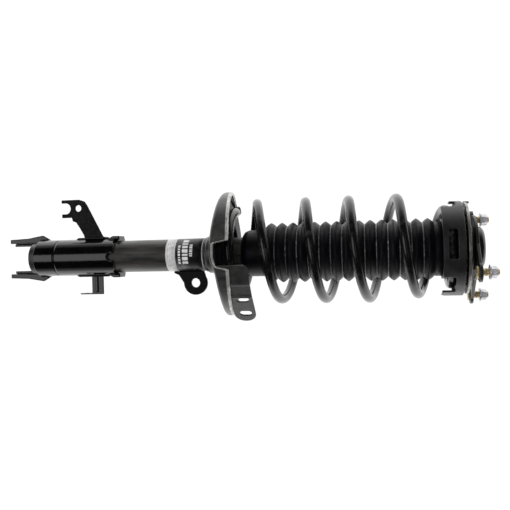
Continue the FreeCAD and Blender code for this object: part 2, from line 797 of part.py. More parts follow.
def bearing_balls():
    centre_r = sum(RACE_R) / 2
    balls = []
    for i in range(BALL_COUNT):
        x, y = polar(centre_r, 360 / BALL_COUNT * i)
        balls.append(Part.makeSphere(BALL_R, V(x, y, BALL_Z)))
    return Part.makeCompound(balls)


def mount_lower_plate():
    """Bright pressed plate under the rubber, with a dropped, lipped rim and one turned-up tab."""
    z, t = LOWER_PLATE_Z, LOWER_PLATE_T
    body = revolve(
        [
            (HUB_BORE_R, z),
            (53, z),
            (55.5, z - RIM_DROP),
            (LOWER_PLATE_R, z - RIM_DROP),
            (LOWER_PLATE_R, z - RIM_DROP + t + RIM_LIP),
            (LOWER_PLATE_R - t, z - RIM_DROP + t + RIM_LIP),
            (LOWER_PLATE_R - t, z - RIM_DROP + t),
            (56.2, z - RIM_DROP + t),
            (53.7, z + t),
            (HUB_BORE_R, z + t),
        ]
    )
    tab = box((-LOWER_PLATE_R - 1.5, -LOWER_PLATE_R + t), (2, 18), (z - RIM_DROP, z + 6))
    shelf = box((-LOWER_PLATE_R, -LOWER_PLATE_R + 8), (2, 18), (z - RIM_DROP, z - RIM_DROP + t))
    return body.fuse([tab, shelf])


def mount_plate():
    """Three-eared plate with a round hub that holds the rubber."""
    foot, head = PLATE_Z
    thickness = head - foot
    body = ring(HUB_BORE_R, HUB_R, LOWER_PLATE_Z + LOWER_PLATE_T, HUB_HEAD_Z)
    flange = Part.makeCylinder(FLANGE_R, thickness, V(0, 0, foot))
    for place in stud_places():
        ear = Part.makeCylinder(EAR_R, thickness, V(place.x, place.y, foot))
        along = V(place.x, place.y, 0).normalize()
        side = V(-along.y, along.x, 0)
        tip = side * (EAR_R - 0.6)
        root = side * (FLANGE_R - 4)
        quad = [root, place.add(tip), place.sub(tip), root * -1]
        quad = [V(p.x, p.y, foot) for p in quad]
        arm = Part.Face(Part.makePolygon(quad + quad[:1])).extrude(V(0, 0, thickness))
        flange = flange.fuse([ear, arm])
    flange = flange.cut(ring(0, HUB_BORE_R, foot - 1, head + 1))
    holes = [Part.makeCylinder(STUD_KNURL_R, 20, V(p.x, p.y, foot - 5)) for p in stud_places()]
    return body.fuse(flange).cut(holes)


def mount_studs():
    studs = []
    foot, head = PLATE_Z
    for p in stud_places():
        stud = Part.makeCylinder(STUD_HEAD_R, STUD_HEAD_T, V(p.x, p.y, foot - STUD_HEAD_T))
        knurl = Part.makeCylinder(STUD_KNURL_R, head - foot, V(p.x, p.y, foot))
        shank = Part.makeCylinder(STUD_R, NUT_FOOT_Z - head - 0.1, V(p.x, p.y, head))
        thread_foot = NUT_FOOT_Z - 0.1
        thread = Part.makeCylinder(STUD_THREAD_R, STUD_TIP_Z - 1 - thread_foot, V(p.x, p.y, thread_foot))
        tip = Part.makeCone(STUD_THREAD_R, STUD_THREAD_R - 1, 1, V(p.x, p.y, STUD_TIP_Z - 1))
        studs.append(stud.fuse([knurl, shank, thread, tip]).removeSplitter())
    return Part.makeCompound(studs)


def stud_nuts():
    """Flange nuts run onto the studs' threads."""
    nut = hex_prism(NUT_HEX_AF, NUT_FOOT_Z, NUT_H)
    chamfer = Part.makeCone(NUT_HEX_AF / 2 + 8, NUT_HEX_AF / 2 - 0.3, 8.3, V(0, 0, NUT_FOOT_Z + NUT_H - 8.3))
    nut = nut.common(chamfer.fuse(ring(0, 20, NUT_FOOT_Z, NUT_FOOT_Z + 1.7)))
    flange = Part.makeCylinder(NUT_FLANGE_R, NUT_FLANGE_T, V(0, 0, NUT_FOOT_Z))
    nut = nut.fuse(flange).cut(ring(0, STUD_THREAD_R, NUT_FOOT_Z - 1, NUT_FOOT_Z + NUT_H + 1))
    nut = nut.removeSplitter()
    nuts = []
    for p in stud_places():
        copy = nut.copy()
        copy.translate(p)
        nuts.append(copy)
    return Part.makeCompound(nuts)


def mount_rubber():
    """Rubber bonded between the hub and the inner sleeve."""
    edge = LOWER_PLATE_Z
    return revolve(
        [
            (SLEEVE_R, edge - 7),
            (HUB_BORE_R - 3, edge - 7),
            (HUB_BORE_R, edge - 3),
            (HUB_BORE_R, edge + 8),
            (HUB_BORE_R - 5, edge + 9.5),
            (SLEEVE_R, edge + 9.5),
        ]
    )


def dust_cap():
    """Shallow domed cap over the rod nut."""
    foot, head = HUB_HEAD_Z, CAP_HEAD_Z
    outline = [
        Part.LineSegment(V(0, 0, head), V(16, 0, head)),
        Part.Arc(V(16, 0, head), V(25.5, 0, head - 2.4), V(HUB_R - 0.4, 0, foot)),
        Part.LineSegment(V(HUB_R - 0.4, 0, foot), V(HUB_R - 0.4 - CAP_T * 1.6, 0, foot)),
        Part.Arc(
            V(HUB_R - 0.4 - CAP_T * 1.6, 0, foot),
            V(24, 0, head - 2.4 - CAP_T),
            V(16, 0, head - CAP_T),
        ),
        Part.LineSegment(V(16, 0, head - CAP_T), V(0, 0, head - CAP_T)),
        Part.LineSegment(V(0, 0, head - CAP_T), V(0, 0, head)),
    ]
    return Part.Face(Part.Wire([e.toShape() for e in outline])).revolve(V(0, 0, 0), Z_AXIS, 360)


def rod_nut():
    foot = WASHER_Z[1]
    return hex_prism(ROD_NUT_AF, foot, ROD_NUT_H).cut(ring(0, ROD_NECK_R, foot - 1, foot + ROD_NUT_H + 1))


def main():
    os.makedirs("parts", exist_ok=True)
    pan = lower_spring_seat()
    pieces = {
        "knuckle_bracket": knuckle_bracket(),
        "bracket_liner": bracket_liner(),
        "strut_tube": strut_tube(),
        "tube_base_cap": tube_base_cap(),
        "base_valve": base_valve(),
        "inner_cylinder": ring(CYLINDER_BORE_R, CYLINDER_R, CYLINDER_FOOT_Z, CYLINDER_HEAD_Z),
        "rod_guide": rod_guide(),
        "rod_seal": rod_seal(),
        "strike_cap": strike_cap(),
        "hose_bracket": hose_bracket(),
        "sensor_bracket": sensor_bracket(),
        "link_bracket": link_bracket(),
        "label_band": label_band(),
        "seat_collar": seat_collar(),
        "lower_spring_seat": pan,
        "spring_guard": spring_guard(pan),
        "lower_isolator": lower_isolator(),
        "coil_spring": coil_spring(),
        "boot_cuff": boot_cuff(),
        "dust_boot": dust_boot(),
        "piston_rod": piston_rod(),
        "piston": piston(),
        "piston_band": ring(PISTON_R, BAND_R, *BAND_Z),
        "piston_nut": piston_nut(),
        "rebound_stop": ring(ROD_R, CYLINDER_BORE_R - 0.6, *REBOUND_Z),
        "bump_stop": bump_stop(),
        "bump_stop_cup": bump_stop_cup(),
        "upper_spring_seat": upper_spring_seat(),
        "upper_isolator": upper_isolator(),
        "bearing_lower_race": bearing_lower_race(),
        "bearing_balls": bearing_balls(),
        "bearing_upper_race": bearing_upper_race(),
        "mount_lower_plate": mount_lower_plate(),
        "mount_plate": mount_plate(),
        "mount_rubber": mount_rubber(),
        "mount_sleeve": ring(ROD_NECK_R, SLEEVE_R, ROD_SHOULDER_Z + 2, WASHER_Z[0]),
        "mount_studs": mount_studs(),
        "stud_nuts": stud_nuts(),
        "rod_washer": ring(ROD_NECK_R, WASHER_R, *WASHER_Z),
        "rod_nut": rod_nut(),
        "dust_cap": dust_cap(),
    }
    for node, shape in pieces.items():
        save(shape, node)


main()
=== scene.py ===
"""Front suspension strut with its coil spring, dust boot and top mount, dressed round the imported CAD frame.

Units are metres.  The strut stands along +Z, its own axis lies at x = 0, y = AXIS_Y, and the camera looks
along +Y with -X up, so that the strut lies across the picture.
"""

import json
import math

import bmesh
import bpy
from mathutils import Matrix, Vector


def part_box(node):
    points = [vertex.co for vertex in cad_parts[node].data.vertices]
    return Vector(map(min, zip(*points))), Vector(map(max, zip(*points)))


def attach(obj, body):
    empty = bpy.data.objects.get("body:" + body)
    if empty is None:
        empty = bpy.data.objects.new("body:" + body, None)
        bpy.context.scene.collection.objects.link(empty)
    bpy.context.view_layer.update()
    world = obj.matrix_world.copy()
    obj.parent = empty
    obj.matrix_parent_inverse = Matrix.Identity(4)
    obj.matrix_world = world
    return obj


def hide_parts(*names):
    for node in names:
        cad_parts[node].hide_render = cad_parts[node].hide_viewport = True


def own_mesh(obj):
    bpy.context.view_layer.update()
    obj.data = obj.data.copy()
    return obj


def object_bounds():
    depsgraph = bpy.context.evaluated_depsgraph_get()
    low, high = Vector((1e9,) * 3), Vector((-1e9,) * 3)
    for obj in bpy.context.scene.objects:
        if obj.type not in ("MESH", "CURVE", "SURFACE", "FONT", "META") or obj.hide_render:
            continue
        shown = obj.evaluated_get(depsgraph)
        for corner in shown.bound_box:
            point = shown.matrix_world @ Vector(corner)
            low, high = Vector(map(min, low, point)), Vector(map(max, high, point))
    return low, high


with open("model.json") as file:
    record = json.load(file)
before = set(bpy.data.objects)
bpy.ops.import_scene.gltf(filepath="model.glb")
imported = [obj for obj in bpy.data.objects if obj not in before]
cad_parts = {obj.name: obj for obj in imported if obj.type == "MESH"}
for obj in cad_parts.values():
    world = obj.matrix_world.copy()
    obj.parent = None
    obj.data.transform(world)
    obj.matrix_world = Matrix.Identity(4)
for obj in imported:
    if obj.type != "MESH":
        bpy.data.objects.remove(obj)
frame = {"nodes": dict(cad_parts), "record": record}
cad_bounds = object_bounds()

MM = 0.001
AXIS_Y = (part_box("strut_tube")[0].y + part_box("strut_tube")[1].y) / 2
BODY_OF = {node: body for body, nodes in frame["record"]["behaviour"]["bodies"].items() for node in nodes}

# Distance from the axis to the beads that are welded to the tube, in millimetres.
WELD_R = 24.6

# Label, in millimetres: heights of the white band and of the light edge.
LABEL_WHITE = 14.9
LABEL_EDGE = 1.6

# Lower seat, in millimetres: rim radius, plate, corner and bore, bead on the rim, and the rim's height at
# the strut's sides with its rise towards the front.
PAN_R = 90.9
PAN_T = 3.0
PAN_CORNER = 6.0
PAN_BORE = 25.0
PAN_FLAT_R = PAN_R - 30
PAN_BEAD_R = 2.7
PAN_RIM_Z = 333.5
PAN_RIM_RISE = 0.12
PAN_NOTCH = (-17.0, 20.0)
PAN_NOTCH_CORNER = 6.0

# Boot, in millimetres.
BOOT_FOLDS = 15
BOOT_STEPS = 12
BOOT_ROOT_R = 37.4
BOOT_WALL = 1.4

# Top mount's studs, in millimetres.
STUD_R = 5.0
STUD_SHOULDER = 3.0


# ---- stage, camera and lights ---------------------------------------------------------------------
def from_form(name, form):
    """New smooth-shaded object at the origin from a bmesh, which is freed."""
    bmesh.ops.recalc_face_normals(form, faces=form.faces)
    mesh = bpy.data.meshes.new(name)
    form.to_mesh(mesh)
    form.free()
    mesh.polygons.foreach_set("use_smooth", [True] * len(mesh.polygons))
    piece = bpy.data.objects.new(name, mesh)
    bpy.context.scene.collection.objects.link(piece)
    return piece


def aim(thing, place, right, up):
    """Stand a camera or light at a place with the given right and up directions."""
    back = right.cross(up).normalized()
    turn = Matrix((right.normalized(), up.normalized(), back)).transposed()
    thing.matrix_world = Matrix.Translation(place) @ turn.to_4x4()


def make_camera():
    """Camera in front of the middle of the coil, turned towards the knuckle end."""
    place = Vector((0.0026, AXIS_Y - 0.960, 0.551))
    turn = math.radians(11.05)
    roll = math.radians(1.38)
    data = bpy.data.cameras.new("camera")
    data.sensor_width = 36
    data.lens = 46.94
    data.clip_end = 60
    camera = bpy.data.objects.new("camera", data)
    bpy.context.scene.collection.objects.link(camera)
    level_right = Vector((0, math.sin(turn), math.cos(turn)))
    level_up = Vector((-1, 0, 0))
    right = math.cos(roll) * level_right - math.sin(roll) * level_up
    up = math.sin(roll) * level_right + math.cos(roll) * level_up
    aim(camera, place, right, up)
    bpy.context.scene.camera = camera


def plain_glow(name, colour, strength):
    """Material that only gives off light."""
    made = bpy.data.materials.new(name)
    made.use_nodes = True
    tree = made.node_tree
    tree.nodes.clear()
    glow = tree.nodes.new("ShaderNodeEmission")
    glow.inputs["Color"].default_value = (*colour, 1)
    glow.inputs["Strength"].default_value = strength
    out = tree.nodes.new("ShaderNodeOutputMaterial")
    tree.links.new(glow.outputs[0], out.inputs["Surface"])
    return made


def make_stage():
    """Pale dome all round and a pale floor just under the strut."""
    radius = 9.0
    floor_z = cad_bounds[0].z - 0.002
    white = plain_glow("studio_white", (1, 1, 1), 1.05)
    dome = bmesh.new()
    floor = bmesh.new()
    bmesh.ops.create_icosphere(dome, subdivisions=4, radius=radius)
    bmesh.ops.create_circle(floor, cap_ends=True, segments=96, radius=radius * 0.9)
    bmesh.ops.translate(floor, verts=floor.verts, vec=(0, 0, floor_z))
    for name, form in (("studio_backdrop", dome), ("studio_floor", floor)):
        piece = from_form(name, form)
        piece.data.materials.append(white)
        piece.visible_diffuse = False
        piece.visible_glossy = False
        piece.visible_transmission = False
        piece.visible_shadow = False


def make_world():
    """Soft light from both sides and behind, with a softbox over the knuckle end and a narrow glint.

    Directions are sorted by their angle round the strut, from 0 towards the camera to 1 behind the strut,
    and by how far they lean towards the knuckle end.
    """
    world = bpy.data.worlds.new("studio")
    bpy.context.scene.world = world
    world.use_nodes = True
    tree = world.node_tree
    sky = tree.nodes["Background"]
    sky.inputs["Strength"].default_value = 2.0

    def math_node(operation, *values):
        made = tree.nodes.new("ShaderNodeMath")
        made.operation = operation
        for socket, value in zip(made.inputs, values):
            if isinstance(value, (int, float)):
                socket.default_value = value
            else:
                tree.links.new(value, socket)
        return made.outputs[0]

    def ramp(value, stops):
        made = tree.nodes.new("ShaderNodeValToRGB")
        made.color_ramp.interpolation = "EASE"
        while len(made.color_ramp.elements) < len(stops):
            made.color_ramp.elements.new(0.5)
        for element, (position, shade) in zip(made.color_ramp.elements, stops):
            element.position = position
            element.color = (shade, shade, shade, 1)
        tree.links.new(value, made.inputs["Fac"])
        return made.outputs["Color"]

    split = tree.nodes.new("ShaderNodeSeparateXYZ")
    tree.links.new(tree.nodes.new("ShaderNodeTexCoord").outputs["Generated"], split.inputs[0])
    side = math_node("ABSOLUTE", split.outputs["X"])
    towards = math_node("MULTIPLY", split.outputs["Y"], -1.0)
    round_strut = math_node("DIVIDE", math_node("ARCTAN2", side, towards), math.pi)
    leaning = math_node("MULTIPLY_ADD", split.outputs["Z"], -0.5, 0.5)
    room_stops = ((0.0, 0.005), (0.36, 0.008), (0.46, 0.30), (0.56, 0.95), (0.7, 0.95), (1.0, 0.6))
    room = ramp(round_strut, room_stops)
    across = ramp(round_strut, ((0.0, 0.88), (0.10, 0.84), (0.135, 0.0), (1.0, 0.0)))
    glint = ((0.0, 0.0), (0.365, 0.0), (0.375, 0.8), (0.39, 0.8), (0.40, 0.0))
    softbox = ((0.64, 0.0), (0.69, 1.0), (0.86, 1.0), (0.93, 0.0))
    along = ramp(leaning, glint + softbox)
    total = math_node("ADD", room, math_node("MULTIPLY", across, along))
    tree.links.new(total, sky.inputs["Color"])


def make_fill():
    """Large soft light from the camera's side that brightens matt surfaces but leaves no reflection."""
    data = bpy.data.lights.new("front_fill", "AREA")
    data.shape = "RECTANGLE"
    data.size = 2.4
    data.size_y = 2.4
    data.energy = 36
    lamp = bpy.data.objects.new("front_fill", data)
    bpy.context.scene.collection.objects.link(lamp)
    lamp.visible_glossy = False
    aim(lamp, Vector((-0.5, AXIS_Y - 1.8, 0.4)), Vector((0, 0, 1)), Vector((-1, 0, 0)))


# ---- materials ------------------------------------------------------------------------------------
def grey(value):
    return (value, value, value)


class Paint:
    """Small helper that builds one Principled material node by node."""

    def __init__(self, name, colour, roughness, metallic=0.0, **sockets):
        self.made = bpy.data.materials.new(name)
        self.made.use_nodes = True
        self.tree = self.made.node_tree
        self.shader = self.tree.nodes["Principled BSDF"]
        self.shader.inputs["Base Color"].default_value = (*colour, 1)
        self.shader.inputs["Roughness"].default_value = roughness
        self.shader.inputs["Metallic"].default_value = metallic
        for socket, value in sockets.items():
            self.shader.inputs[socket.replace("_", " ")].default_value = value
        self.coords = self.node("ShaderNodeTexCoord").outputs["Object"]
        self.bumps = []

    def node(self, kind, **settings):
        made = self.tree.nodes.new(kind)
        for key, value in settings.items():
            if key in made.inputs:
                made.inputs[key].default_value = value
            else:
                setattr(made, key, value)
        return made

    def link(self, a, b):
        self.tree.links.new(a, b)

    def stretched(self, scale):
        mapping = self.node("ShaderNodeMapping", Scale=scale)
        self.link(self.coords, mapping.inputs["Vector"])
        return mapping.outputs[0]

    def noise(self, scale, detail=4.0, stretch=(1, 1, 1), rough=0.55):
        """Cloudy pattern in the piece's own space, with about `scale` blotches to the metre."""
        made = self.node("ShaderNodeTexNoise", Scale=scale, Detail=detail, Roughness=rough)
        self.link(self.stretched(stretch), made.inputs["Vector"])
        return made.outputs["Fac"]

    def span(self, value, low, high, out_low, out_high):
        """The value, moved from one range onto another."""
        made = self.node("ShaderNodeMapRange")
        limits = {"From Min": low, "From Max": high, "To Min": out_low, "To Max": out_high}
        for socket, number in limits.items():
            made.inputs[socket].default_value = number
        self.link(value, made.inputs["Value"])
        return made.outputs[0]

    def colour(self, share, dark, light):
        """Base colour that goes from dark to light as the share goes from 0 to 1."""
        mix = self.node("ShaderNodeMix", data_type="RGBA")
        # In a colour Mix node, inputs 6 and 7 are the two colours and output 2 is the mixed one.
        mix.inputs[6].default_value = (*dark, 1)
        mix.inputs[7].default_value = (*light, 1)
        self.link(share, mix.inputs[0])
        self.link(mix.outputs[2], self.shader.inputs["Base Color"])

    def roughness(self, output):
        self.link(output, self.shader.inputs["Roughness"])

    def bump(self, height, strength, distance):
        """Add fine relief on top of the relief that is already there."""
        made = self.node("ShaderNodeBump", Strength=strength, Distance=distance)
        self.link(height, made.inputs["Height"])
        if self.bumps:
            self.link(self.bumps[-1], made.inputs["Normal"])
        self.bumps.append(made.outputs[0])
        self.link(made.outputs[0], self.shader.inputs["Normal"])


def gloss_black():
    """Thick gloss paint on pressed steel, with orange peel and a little settled dust."""
    paint = Paint("gloss_black", grey(0.002), 0.12)
    dust_and_sheen = paint.noise(340, 6)
    paint.roughness(paint.span(dust_and_sheen, 0.35, 0.75, 0.08, 0.2))
    shade = paint.noise(60, 5)
    paint.colour(paint.span(shade, 0.35, 0.75, 0, 1), grey(0.0008), grey(0.003))
    paint.bump(paint.noise(230, 2), 0.25, 0.0003)
    return paint.made


def plate_black():
    """Thin dull coat on the small flat brackets, speckled with dust."""
    paint = Paint("plate_black", grey(0.003), 0.4, Specular_IOR_Level=0.12)
    speck = paint.noise(900, 3, rough=0.7)
    paint.colour(paint.span(speck, 0.58, 0.72, 0, 1), grey(0.0015), grey(0.03))
    paint.roughness(paint.span(paint.noise(150, 5), 0.3, 0.7, 0.25, 0.5))
    paint.bump(speck, 0.3, 0.0002)
    return paint.made


def tube_black():
    """Thin weathered paint on drawn tube, streaked along its length."""
    paint = Paint("tube_black", grey(0.02), 0.4)
    streaks = paint.noise(120, 8, (1, 1, 0.12), 0.65)
    blotch = paint.noise(38, 6, (1, 1, 0.5))
    paint.colour(paint.span(streaks, 0.35, 0.7, 0, 1), grey(0.003), (0.050, 0.047, 0.042))
    paint.roughness(paint.span(blotch, 0.3, 0.7, 0.3, 0.5))
    paint.bump(streaks, 0.3, 0.0003)
    return paint.made


def seat_black():
    """Semi-gloss dip coat over pressed plate, with faint drawing marks."""
    paint = Paint("seat_black", grey(0.02), 0.3)
    runs = paint.noise(70, 6)
    drawn = paint.noise(140, 6, (1, 1, 0.6), 0.6)
    paint.colour(paint.span(drawn, 0.3, 0.7, 0, 1), grey(0.012), (0.036, 0.035, 0.034))
    paint.roughness(paint.span(runs, 0.3, 0.7, 0.26, 0.42))
    paint.bump(paint.noise(260, 3), 0.25, 0.0003)
    return paint.made


def rim_painted_highlight():
    """Rolled rim, coloured light grey and part metallic as a painted highlight, patchy along its length."""
    paint = Paint("rim_painted_highlight", (0.4, 0.4, 0.39), 0.3, metallic=0.35)
    rim_patchiness = paint.noise(90, 6)
    # The light grey colour is a painted highlight, patchy along the rim.
    paint.colour(paint.span(rim_patchiness, 0.32, 0.68, 0, 1), (0.20, 0.20, 0.19), (0.62, 0.62, 0.60))
    paint.roughness(paint.span(rim_patchiness, 0.3, 0.7, 0.4, 0.24))
    paint.bump(paint.noise(420, 3), 0.2, 0.0002)
    return paint.made


def mount_black():
    """Satin paint on the top plate."""
    paint = Paint("mount_black", grey(0.008), 0.36)
    speckle = paint.noise(500, 5)
    paint.colour(paint.noise(80, 5), grey(0.004), grey(0.014))
    paint.roughness(paint.span(speckle, 0.3, 0.7, 0.3, 0.46))
    paint.bump(speckle, 0.2, 0.0002)
    return paint.made


def cap_black():
    """Smooth moulded cap."""
    paint = Paint("cap_black", grey(0.006), 0.3)
    grain = paint.noise(900, 3)
    paint.colour(paint.noise(70, 5), grey(0.003), grey(0.010))
    paint.roughness(paint.span(grain, 0.3, 0.7, 0.2, 0.34))
    paint.bump(grain, 0.15, 0.0001)
    return paint.made


def spring_coat():
    """Semi-gloss powder coat on spring wire, with scuffs along the wire."""
    paint = Paint("spring_coat", grey(0.006), 0.2)
    scuff = paint.noise(70, 8, rough=0.7)
    paint.colour(paint.span(scuff, 0.5, 0.72, 0, 1), grey(0.003), (0.030, 0.030, 0.029))
    paint.roughness(paint.span(paint.noise(150, 5), 0.3, 0.7, 0.14, 0.3))
    paint.bump(paint.noise(420, 3), 0.3, 0.00025)
    return paint.made


def boot_rubber():
    """Matt moulded rubber with a faint bloom."""
    paint = Paint("boot_rubber", (0.003, 0.003, 0.004), 0.5, Specular_IOR_Level=0.22)
    bloom = paint.noise(55, 6)
    paint.colour(paint.span(bloom, 0.35, 0.75, 0, 1), (0.001, 0.001, 0.0016), (0.004, 0.004, 0.006))
    paint.roughness(paint.span(paint.noise(240, 5), 0.3, 0.7, 0.38, 0.56))
    paint.bump(paint.noise(1500, 3), 0.25, 0.0001)
    return paint.made


def boot_crease_highlight():
    """Bottom of the boot's folds, coloured light as a painted highlight, glossier and mottled with dust."""
    paint = Paint("boot_crease_highlight", (0.05, 0.05, 0.055), 0.3)
    dust_and_sheen = paint.noise(320, 6)
    # The light colour is a painted highlight, patchy along the crease.
    paint.colour(paint.span(dust_and_sheen, 0.35, 0.7, 0, 1), (0.012, 0.012, 0.014), (0.15, 0.15, 0.155))
    paint.roughness(paint.span(dust_and_sheen, 0.3, 0.7, 0.25, 0.45))
    return paint.made


def cup_plastic():
    """Grained black plastic."""
    paint = Paint("cup_plastic", grey(0.012), 0.4)
    grain = paint.noise(1400, 3)
    paint.colour(paint.noise(90, 5), grey(0.004), grey(0.014))
    paint.roughness(paint.span(paint.noise(90, 4), 0.3, 0.7, 0.34, 0.5))
    paint.bump(grain, 0.3, 0.0001)
    return paint.made


def bump_foam():
    """Closed cell foam."""
    paint = Paint("bump_foam", (0.62, 0.52, 0.30), 0.8)
    cells = paint.noise(1300, 4)
    paint.colour(cells, (0.50, 0.40, 0.20), (0.72, 0.62, 0.40))
    paint.bump(cells, 0.5, 0.0004)
    return paint.made


def printed_foil(name, dark, light):
    """Printed foil, scuffed and slightly creased."""
    paint = Paint(name, light, 0.35)
    scuff = paint.noise(130, 7)
    paint.colour(paint.span(scuff, 0.3, 0.7, 0, 1), dark, light)
    paint.roughness(paint.span(scuff, 0.3, 0.7, 0.28, 0.45))
    paint.bump(paint.noise(700, 3), 0.15, 0.0001)
    return paint.made


def metal(name, colour, shade, low, high, metallic=1.0):
    """Bare or plated metal with fine pits and stains."""
    paint = Paint(name, colour, (low + high) / 2, metallic=metallic)
    stain = paint.noise(160, 6)
    paint.colour(paint.span(stain, 0.3, 0.7, 0, 1), shade, colour)
    paint.roughness(paint.span(stain, 0.3, 0.7, high, low))
    paint.bump(paint.noise(900, 4), 0.15, 0.0001)
    return paint.made


def make_materials():
    """Every material by name."""
    return {
        "gloss_black": gloss_black(),
        "plate_black": plate_black(),
        "tube_black": tube_black(),
        "seat_black": seat_black(),
        # Light rim colour: a painted highlight along the seat's rolled rim.
        "rim_painted_highlight": rim_painted_highlight(),
        "mount_black": mount_black(),
        "cap_black": cap_black(),
        "spring_coat": spring_coat(),
        "boot_rubber": boot_rubber(),
        # Light crease colour: a painted highlight along the boot's folds.
        "boot_crease_highlight": boot_crease_highlight(),
        "cup_plastic": cup_plastic(),
        "bump_foam": bump_foam(),
        "label_foil": printed_foil("label_foil", grey(0.50), grey(0.74)),
        "label_ink": printed_foil("label_ink", grey(0.003), grey(0.009)),
        "label_mark": printed_foil("label_mark", grey(0.20), grey(0.36)),
        "bright_steel": metal("bright_steel", (0.50, 0.50, 0.51), (0.22, 0.22, 0.23), 0.2, 0.4),
        "chrome_rod": metal("chrome_rod", (0.75, 0.76, 0.78), (0.62, 0.63, 0.65), 0.06, 0.14),
        "plate_zinc": metal("plate_zinc", (0.34, 0.33, 0.31), (0.12, 0.115, 0.11), 0.22, 0.42, metallic=0.8),
        "stud_gold": metal("stud_gold", (0.60, 0.48, 0.27), (0.36, 0.28, 0.15), 0.22, 0.4, metallic=0.6),
        "nut_zinc": metal("nut_zinc", (0.60, 0.60, 0.62), (0.34, 0.34, 0.36), 0.18, 0.36, metallic=0.5),
    }


# ---- shapes ---------------------------------------------------------------------------------------
# Shapes are drawn in millimetres from the strut's axis; `spot` turns them into places in the frame.
def spot(x, y, z):
    return Vector((x * MM, AXIS_Y + y * MM, z * MM))


def around(radius, degrees, z):
    """Place at an angle from the front (-Y) towards +X."""
    angle = math.radians(degrees)
    return spot(radius * math.sin(angle), -radius * math.cos(angle), z)


def extent(node):
    """A node's lowest and highest corners in millimetres from the strut's axis."""
    shift = Vector((0, AXIS_Y, 0))
    low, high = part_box(node)
    return (Vector(low) - shift) / MM, (Vector(high) - shift) / MM


def rounded(points, radius, steps=4):
    """Closed outline with every corner replaced by a short curve."""
    count = len(points)
    result = []
    for i, (x, z) in enumerate(points):
        here = Vector((x, z))
        before = Vector(points[i - 1]) - here
        after = Vector(points[(i + 1) % count]) - here
        reach = min(radius, before.length * 0.45, after.length * 0.45)
        start, end = here + before.normalized() * reach, here + after.normalized() * reach
        for k in range(steps + 1):
            t = k / steps
            bend = start * (1 - t) ** 2 + here * 2 * t * (1 - t) + end * t**2
            result.append((bend.x, bend.y))
    return result


def lathe(form, profile, steps):
    """Sweep a closed (radius, z) outline round the strut's axis; returns one band of faces per edge."""
    rows = []
    for i in range(steps):
        angle = 360 * i / steps
        rows.append([form.verts.new(around(r, angle, z)) for r, z in profile])
    count = len(profile)
    bands = []
    for j in range(count):
        k = (j + 1) % count
        band = []
        for row, following in zip(rows, rows[1:] + rows[:1]):
            band.append(form.faces.new((row[j], row[k], following[k], following[j])))
        bands.append(band)
    return bands


def tube_along(form, places, radii, sides=12):
    """Closed round tube through a list of places, with a radius in millimetres for each."""
    rings = []
    count = len(places)
    for i, (place, radius) in enumerate(zip(places, radii)):
        along = (places[min(i + 1, count - 1)] - places[max(i - 1, 0)]).normalized()
        first = (along.cross(second) if rings else along.orthogonal()).normalized()
        second = first.cross(along).normalized()
        ring = []
        for k in range(sides):
            turn = 2 * math.pi * k / sides
            outwards = first * math.cos(turn) + second * math.sin(turn)
            ring.append(form.verts.new(place + radius * MM * outwards))
        rings.append(ring)
    for near, far in zip(rings, rings[1:]):
        for k in range(sides):
            n = (k + 1) % sides
            form.faces.new((near[k], near[n], far[n], far[k]))
    form.faces.new(rings[0])
    form.faces.new(rings[-1])


def weld_bead(form, places, radius, ripple=1.6):
    """Rippled weld along a path, about one ripple every `ripple` millimetres."""
    fine = []
    swell = []
    run = 0.0
    for start, end in zip(places, places[1:]):
        length = (end - start).length / MM
        steps = max(int(length / (ripple / 4)), 1)
        for i in range(steps):
            fine.append(start.lerp(end, i / steps))
            wave = abs(math.sin(math.pi * (run + length * i / steps) / ripple))
            swell.append(radius * (0.82 + 0.18 * wave))
        run += length
    tube_along(form, fine, swell)


def copied(node):
    """Bmesh with the faces of a CAD node."""
    form = bmesh.new()
    form.from_mesh(frame["nodes"][node].data)
    bmesh.ops.remove_doubles(form, verts=form.verts, dist=1e-6)
    return form


def with_modifiers_applied(piece):
    """Bake the piece's modifiers into its mesh."""
    graph = bpy.context.evaluated_depsgraph_get()
    baked = bpy.data.meshes.new_from_object(piece.evaluated_get(graph))
    piece.modifiers.clear()
    piece.data = baked
    return piece


def softened(name, form, voxel, rounds):
    """Object from a bmesh with its edges rounded, as pressing, moulding and thick paint leave them."""
    piece = from_form(name, form)
    skin = piece.modifiers.new("skin", "REMESH")
    skin.mode = "VOXEL"
    skin.voxel_size = voxel * MM
    skin.use_smooth_shade = True
    soften = piece.modifiers.new("soften", "SMOOTH")
    soften.factor = 0.5
    soften.iterations = rounds
    return with_modifiers_applied(piece)


def dress(piece, material, stands_for=(), body=None):
    """Give a piece its material and body, and hide the CAD nodes that it stands for."""
    if material:
        piece.data.materials.clear()
        piece.data.materials.append(MATERIALS[material])
    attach(piece, body or BODY_OF[stands_for[0]])
    if stands_for:
        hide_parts(*stands_for)
    return piece


# ---- knuckle end and tube -------------------------------------------------------------------------
def make_bracket():
    """Wrapped bracket with a line pressed across its front, and the liner inside it."""
    piece = softened("bracket_skin", copied("knuckle_bracket"), 0.8, 5)
    line_z = 56.0
    half = 2.0
    depth = 0.9
    for vertex in piece.data.vertices:
        x, y, z = vertex.co.x / MM, (vertex.co.y - AXIS_Y) / MM, vertex.co.z / MM
        if y < -10 and abs(z - line_z) < half:
            push = depth * (1 + math.cos(math.pi * (z - line_z) / half)) / 2
            pull = 1 - push / math.hypot(x, y)
            vertex.co.x = x * pull * MM
            vertex.co.y = AXIS_Y + y * pull * MM
    dress(piece, "gloss_black", ["knuckle_bracket"])
    dress(softened("liner_skin", copied("bracket_liner"), 0.9, 3), "gloss_black", ["bracket_liner"])


